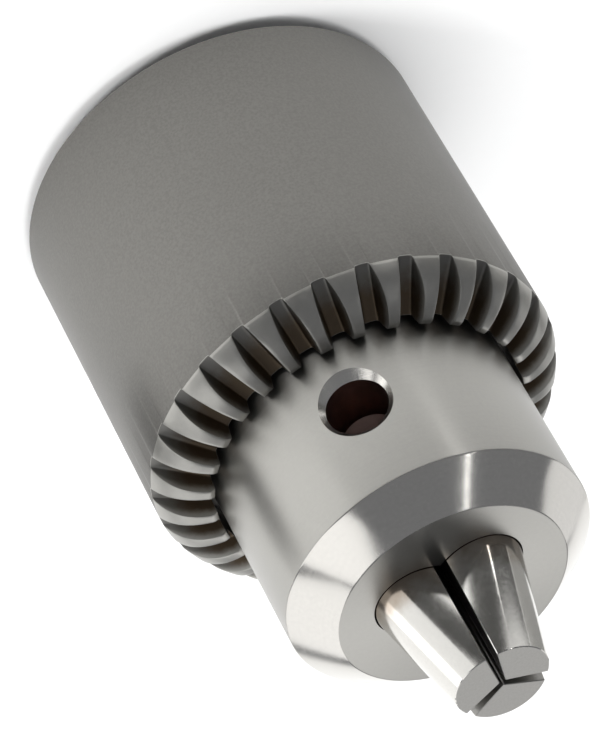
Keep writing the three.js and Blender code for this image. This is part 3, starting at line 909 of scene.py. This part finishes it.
def make_body(chuck):
    """The body: a turned blank with its bores, key holes and tapped socket cut out of it."""
    sizes, jaws, steels = chuck.body, chuck.jaws, chuck.steels
    slots = [
        turned_steel(steels),
        turned_steel(steels, "nose_chamfer_steel", tuple(steels.chamfer), 0.15, 0.003),
        bore_steel(steels),
        turned_steel(steels, "countersink_steel", tuple(steels.chamfer), 0.22, 0.01),
    ]
    body = mesh_object("chuck_body", turned(body_profile(sizes), FINE_COLUMNS), slots)
    centres = np.empty(len(body.data.polygons) * 3, np.float32)
    body.data.polygons.foreach_get("center", centres)
    height = centres.reshape(-1, 3)[:, 2]
    bright = (height > sizes.nose_chamfer) & (height < sizes.nose - 0.01 * MM)
    body.data.polygons.foreach_set("material_index", bright.astype(np.int32))
    jaw_bore = rod(sizes.jaw_bore, -sizes.jaw_bore_end, JAW_BORE_FRONT, JAW_BORE_COLUMNS)
    jaw_bore = placed(jaw_bore, jaw_frame(jaws))
    wall, cone = key_hole_shapes(sizes)
    drill_bore = drilled(sizes.drill_bore, DRILL_BORE_END, sizes.nose + OVERRUN, BORE_COLUMNS)
    cuts = [(about_axis(jaw_bore, azimuth), 2) for azimuth in JAW_AZIMUTHS]
    cuts += [(drill_bore, 2)]
    cuts += [(about_axis(wall, azimuth), 2) for azimuth in KEY_AZIMUTHS]
    cuts += [(about_axis(cone, azimuth), 3) for azimuth in KEY_AZIMUTHS]
    cuts += [(shape, 2) for shape in socket_shapes()]
    carved(body, "DIFFERENCE", cuts)
    finished(shaded(body), "body", "chuck_body")


def make_sleeve(chuck):
    """The sleeve and its bevel gear in one closed grid."""
    points, faces, slots, depth = sleeve_shape(chuck.sleeve)
    steels = [blasted_steel(chuck.steels), gear_steel(chuck.steels)]
    sleeve = mesh_object("turning_sleeve", (points, faces.tolist()), steels)
    sleeve.data.polygons.foreach_set("material_index", slots)
    # How deep each point lies in a gear groove; the gear steel paints shade from it.
    groove = sleeve.data.attributes.new("groove", "FLOAT", "POINT")
    groove.data.foreach_set("value", depth.astype(np.float32))
    finished(shaded(sleeve, 40.0), "sleeve", "turning_sleeve")


def make_nut(chuck):
    """The two halves of the nut, cut from one threaded ring."""
    sizes = chuck.jaws
    slant, radius, height, _ = thread_reference(sizes)
    root_half = RIDGE_HALF + (RIDGE + ROOT_CLEARANCE) * math.tan(HALF_THREAD_ANGLE)
    profile = np.array(
        [
            (-RIDGE_HALF, -RIDGE),
            (RIDGE_HALF, -RIDGE),
            (root_half, ROOT_CLEARANCE),
            (sizes.pitch - root_half, ROOT_CLEARANCE),
        ]
    )
    start = -(NUT_TURNS + 1) / 2 * sizes.pitch
    core = screw_core(radius, height, slant, sizes.pitch, profile, start, NUT_TURNS, 144)
    low, high, outer = NUT_LOW.z, NUT_HIGH.z, NUT_HIGH.x
    blank = eased([(0, low, 0), (outer, low, NUT_EASE), (outer, high, NUT_EASE), (0, high, 0)])
    steel = nut_steel(chuck.steels)
    for node, side in (("nut_half_1", 1), ("nut_half_2", -1)):
        half = mesh_object(node.replace("nut", "split_nut"), turned(blank, 192), [steel])
        near, far = sorted((HALF_SPLIT * side, REACH * side))
        keep = np.array([(near, -REACH), (far, -REACH), (far, REACH), (near, REACH)])
        carved(half, "INTERSECT", [(prism(keep, low - REACH / 2, high + REACH / 2), 0)])
        carved(half, "DIFFERENCE", [(core, 0)])
        finished(shaded(half), node, "turning_sleeve")


def tooth_cutters(sizes, azimuth):
    """Ring-shaped cutters for a jaw's toothed back at azimuth 0, set for the azimuth that the jaw is turned
    to. Each ring's section is a 30 degree trapezoid round the nut's ridge, leaned by the thread's lead."""
    slant, radius, height, from_apex = thread_reference(sizes)
    low, high = -RIDGE - TIP_CLEARANCE, CUTTER_TOP
    corners = []
    for out, side in ((low, -1), (high, -1), (high, 1), (low, 1)):
        up = side * (RIDGE_HALF + FLANK_CLEARANCE + (out + RIDGE) * math.tan(HALF_THREAD_ANGLE))
        corners.append(
            (
                radius - up * math.sin(slant) + out * math.cos(slant),
                up * math.cos(slant) + out * math.sin(slant),
            )
        )
    lead = math.atan(sizes.pitch * math.cos(slant) / (2 * math.pi * radius))
    section = ring(np.array(corners), 160)
    phase = azimuth / 360
    first = math.ceil((from_apex - sizes.end - sizes.pitch / 2) / sizes.pitch - phase)
    last = math.floor((from_apex - sizes.toothed_from) / sizes.pitch - phase)
    rings = []
    for i in range(first, last + 1):
        along = sizes.pitch * (i + phase)
        origin = Vector((-along * math.sin(slant), 0, height + along * math.cos(slant)))
        rings.append(placed(section, Matrix.Translation(origin) @ Matrix.Rotation(lead, 4, "X")))
    return rings


def make_jaws(chuck):
    """The three jaws: a rod met by a gripping wedge, its edges broken, its back turned down and toothed."""
    sizes = chuck.jaws
    steels = [ground_steel(chuck.steels), tip_steel(chuck.steels)]
    slant = math.acos(-JAW_AXIS[2])
    blank = rod(sizes.radius, -sizes.end, JAW_FRONT_EXTRA, JAW_COLUMNS, 0.3 * MM)
    blank = placed(blank, jaw_frame(sizes))
    across, aside = REACH * math.cos(sizes.grip_angle), REACH * math.sin(sizes.grip_angle)
    wedge = np.array(
        [
            (sizes.grip_edge, 0),
            (sizes.grip_edge + across, -aside),
            (REACH, -aside),
            (REACH, aside),
            (sizes.grip_edge + across, aside),
        ]
    )
    turned_down = rod(chuck.sleeve.relief - JAW_SLEEVE_GAP, -REACH, sizes.tip + REACH, FINE_COLUMNS)
    turned_down = placed(turned_down, Matrix.Translation((-JAW_STROKE * math.sin(slant), 0, 0)))
    bodies = ("first_jaw", "second_jaw", "third_jaw")
    for number, (azimuth, body) in enumerate(zip(JAW_AZIMUTHS, bodies), 1):
        jaw = mesh_object(f"gripping_jaw_{number}", blank, steels)
        carved(jaw, "INTERSECT", [(prism(wedge, 5 * MM, sizes.tip), 1)])
        edges_broken(jaw, sizes.edge, 35.0)
        jaw.data.transform(Matrix.Rotation(math.radians(azimuth), 4, "Z"))
        carved(jaw, "INTERSECT", [(about_axis(turned_down, azimuth), 0)])
        for cutter in tooth_cutters(sizes, azimuth):
            carved(jaw, "DIFFERENCE", [(about_axis(cutter, azimuth), 1)])
        finished(shaded(jaw, 25.0), f"jaw_{number}", body)


# The studio


def make_floor(chuck):
    """A pale floor just under the chuck's rear face."""
    steps = np.linspace(-FLOOR_HALF, FLOOR_HALF, 9)
    x, y = np.meshgrid(steps, steps)
    mesh_object("studio_floor", sheet(x, y, np.full_like(x, FLOOR_Z)), [floor_paper(chuck.studio)])


def make_cards(chuck):
    """Grey cards bent round the chuck: (name, azimuths, radius, heights, share of the card's colour), with
    sizes in millimetres. Only the steel's reflections show them."""
    cards = (
        ("card_front", -178, -60, 100, 0, 30, 0.30),
        ("card_right", 128, 181, 100, 0, 30, 1.50),
        ("card_left", -17, 0, 30, 9, 25, 0.20),
    )
    for name, first, last, radius, low, high, share_left in cards:
        around, up = np.meshgrid(np.radians(np.linspace(first, last, 25)), np.linspace(low, high, 5) * MM)
        bent = sheet(radius * MM * np.cos(around), radius * MM * np.sin(around), up)
        card = mesh_object(name, bent, [card_paper(chuck.studio, share_left)])
        card.visible_camera = card.visible_shadow = card.visible_diffuse = False


def direction(azimuth, elevation):
    """The unit vector at an azimuth from +X and an elevation, in degrees."""
    a, e = math.radians(azimuth), math.radians(elevation)
    return Vector((math.cos(a) * math.cos(e), math.sin(a) * math.cos(e), math.sin(e)))


def make_lamps(chuck):
    """Soft boxes round the chuck: (name, azimuth, elevation, width, height, distance, power), in degrees,
    metres and watts. Two of them light only the floor, and the steel doesn't show them."""
    boxes = (
        ("left_near", -20, 34, 0.36, 0.56, 0.60, 0.70),
        ("left_far", 38, 27, 0.56, 0.50, 0.60, 0.92),
        ("back_box", 92, 39, 0.50, 0.40, 0.70, 0.84),
        ("right_box", 138, 12, 0.40, 0.30, 0.65, 0.26),
        ("top_box", -90, 89, 1.00, 1.00, 1.20, 15.5),
        ("floor_pool", -44, 32, 0.03, 0.03, 0.11, 0.075),
        ("strip", -150, 50, 0.005, 0.30, 0.55, 0.045),
        ("low_left", -6, -4, 0.050, 0.036, 0.11, 0.0046),
        ("low_strip", -133, -10, 0.002, 0.030, 0.085, 0.0017),
    )
    for name, azimuth, elevation, width, height, distance, power in boxes:
        lamp = bpy.data.lights.new(name, "AREA")
        lamp.shape, lamp.size, lamp.size_y = "RECTANGLE", width, height
        lamp.energy = power * chuck.studio.lamp_power
        held = bpy.data.objects.new(name, lamp)
        away = direction(azimuth, elevation)
        held.location = LAMP_MIDDLE + away * distance
        held.rotation_euler = away.to_track_quat("Z", "Y").to_euler()
        held.visible_glossy = name not in ("top_box", "floor_pool")
        bpy.context.scene.collection.objects.link(held)
    world = bpy.data.worlds.new("studio_air")
    world.use_nodes = True
    air = world.node_tree.nodes["Background"]
    air.inputs["Color"].default_value = AIR
    air.inputs["Strength"].default_value = AIR_STRENGTH
    bpy.context.scene.world = world


def make_camera(chuck):
    """A long lens that looks down on the nose, rolled so that the chuck hangs head down."""
    studio = chuck.studio
    lens = bpy.data.cameras.new("camera")
    lens.lens, lens.sensor_width = studio.focal, SENSOR_WIDTH
    lens.clip_start, lens.clip_end = 0.01, 20.0
    camera = bpy.data.objects.new("camera", lens)
    a, e = studio.azimuth, studio.elevation
    back = Vector((math.sin(a) * math.cos(e), -math.cos(a) * math.cos(e), math.sin(e)))
    level = (-back).to_track_quat("-Z", "Y")
    roll = Matrix.Rotation(studio.roll, 4, back)
    place = Matrix.Translation(CAMERA_AIM + back * studio.distance)
    camera.matrix_world = place @ roll @ level.to_matrix().to_4x4()
    bpy.context.scene.collection.objects.link(camera)
    bpy.context.scene.camera = camera
    bpy.context.scene.view_settings.view_transform = "Standard"


# The add-on


class ChuckSettings(bpy.types.PropertyGroup):
    """Every setting of the chuck."""

    sleeve: PointerProperty(type=SleeveSizes, name="Sleeve", description="The turning sleeve")
    body: PointerProperty(type=BodySizes, name="Body", description="The turned core")
    jaws: PointerProperty(type=JawSizes, name="Jaws", description="The three jaws")
    steels: PointerProperty(type=SteelColours, name="Steels", description="Colours and roughness")
    studio: PointerProperty(type=StudioSettings, name="Studio", description="Floor, lamps and camera")


class CHUCK_OT_body(bpy.types.Operator):
    """Make the turned body"""

    bl_idname = "chuck.body"
    bl_label = "Body"

    def execute(self, context):
        make_body(context.scene.chuck)
        return {"FINISHED"}


class CHUCK_OT_sleeve(bpy.types.Operator):
    """Make the geared sleeve"""

    bl_idname = "chuck.sleeve"
    bl_label = "Sleeve"

    def execute(self, context):
        make_sleeve(context.scene.chuck)
        return {"FINISHED"}


class CHUCK_OT_nut(bpy.types.Operator):
    """Make the two nut halves"""

    bl_idname = "chuck.nut"
    bl_label = "Split nut"

    def execute(self, context):
        make_nut(context.scene.chuck)
        return {"FINISHED"}


class CHUCK_OT_jaws(bpy.types.Operator):
    """Make the three jaws"""

    bl_idname = "chuck.jaws"
    bl_label = "Jaws"

    def execute(self, context):
        make_jaws(context.scene.chuck)
        return {"FINISHED"}


class CHUCK_OT_studio(bpy.types.Operator):
    """Make the floor, the lamps and the camera"""

    bl_idname = "chuck.studio"
    bl_label = "Studio"

    def execute(self, context):
        make_camera(context.scene.chuck)
        make_floor(context.scene.chuck)
        make_cards(context.scene.chuck)
        make_lamps(context.scene.chuck)
        return {"FINISHED"}


OPERATORS = (CHUCK_OT_studio, CHUCK_OT_body, CHUCK_OT_sleeve, CHUCK_OT_nut, CHUCK_OT_jaws)


class CHUCK_PT_panel(bpy.types.Panel):
    """The chuck's pieces and settings."""

    bl_idname = "CHUCK_PT_panel"
    bl_label = "Keyed drill chuck"
    bl_space_type = "VIEW_3D"
    bl_region_type = "UI"
    bl_category = "Chuck"

    def draw(self, context):
        for operator in OPERATORS:
            self.layout.operator(operator.bl_idname)
        chuck = context.scene.chuck
        for group in (chuck.sleeve, chuck.body, chuck.jaws, chuck.steels, chuck.studio):
            box = self.layout.box()
            for name in group.__annotations__:
                box.prop(group, name)


CLASSES = (
    SleeveSizes,
    BodySizes,
    JawSizes,
    SteelColours,
    StudioSettings,
    ChuckSettings,
    *OPERATORS,
    CHUCK_PT_panel,
)


def register():
    for cls in CLASSES:
        bpy.utils.register_class(cls)
    bpy.types.Scene.chuck = PointerProperty(type=ChuckSettings, name="Chuck", description="The drill chuck")


def unregister():
    del bpy.types.Scene.chuck
    for cls in reversed(CLASSES):
        bpy.utils.unregister_class(cls)


def main():
    """Registers the add-on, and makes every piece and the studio."""
    register()
    bpy.ops.chuck.studio()
    bpy.ops.chuck.body()
    bpy.ops.chuck.sleeve()
    bpy.ops.chuck.nut()
    bpy.ops.chuck.jaws()


if __name__ == "__main__":
    main()
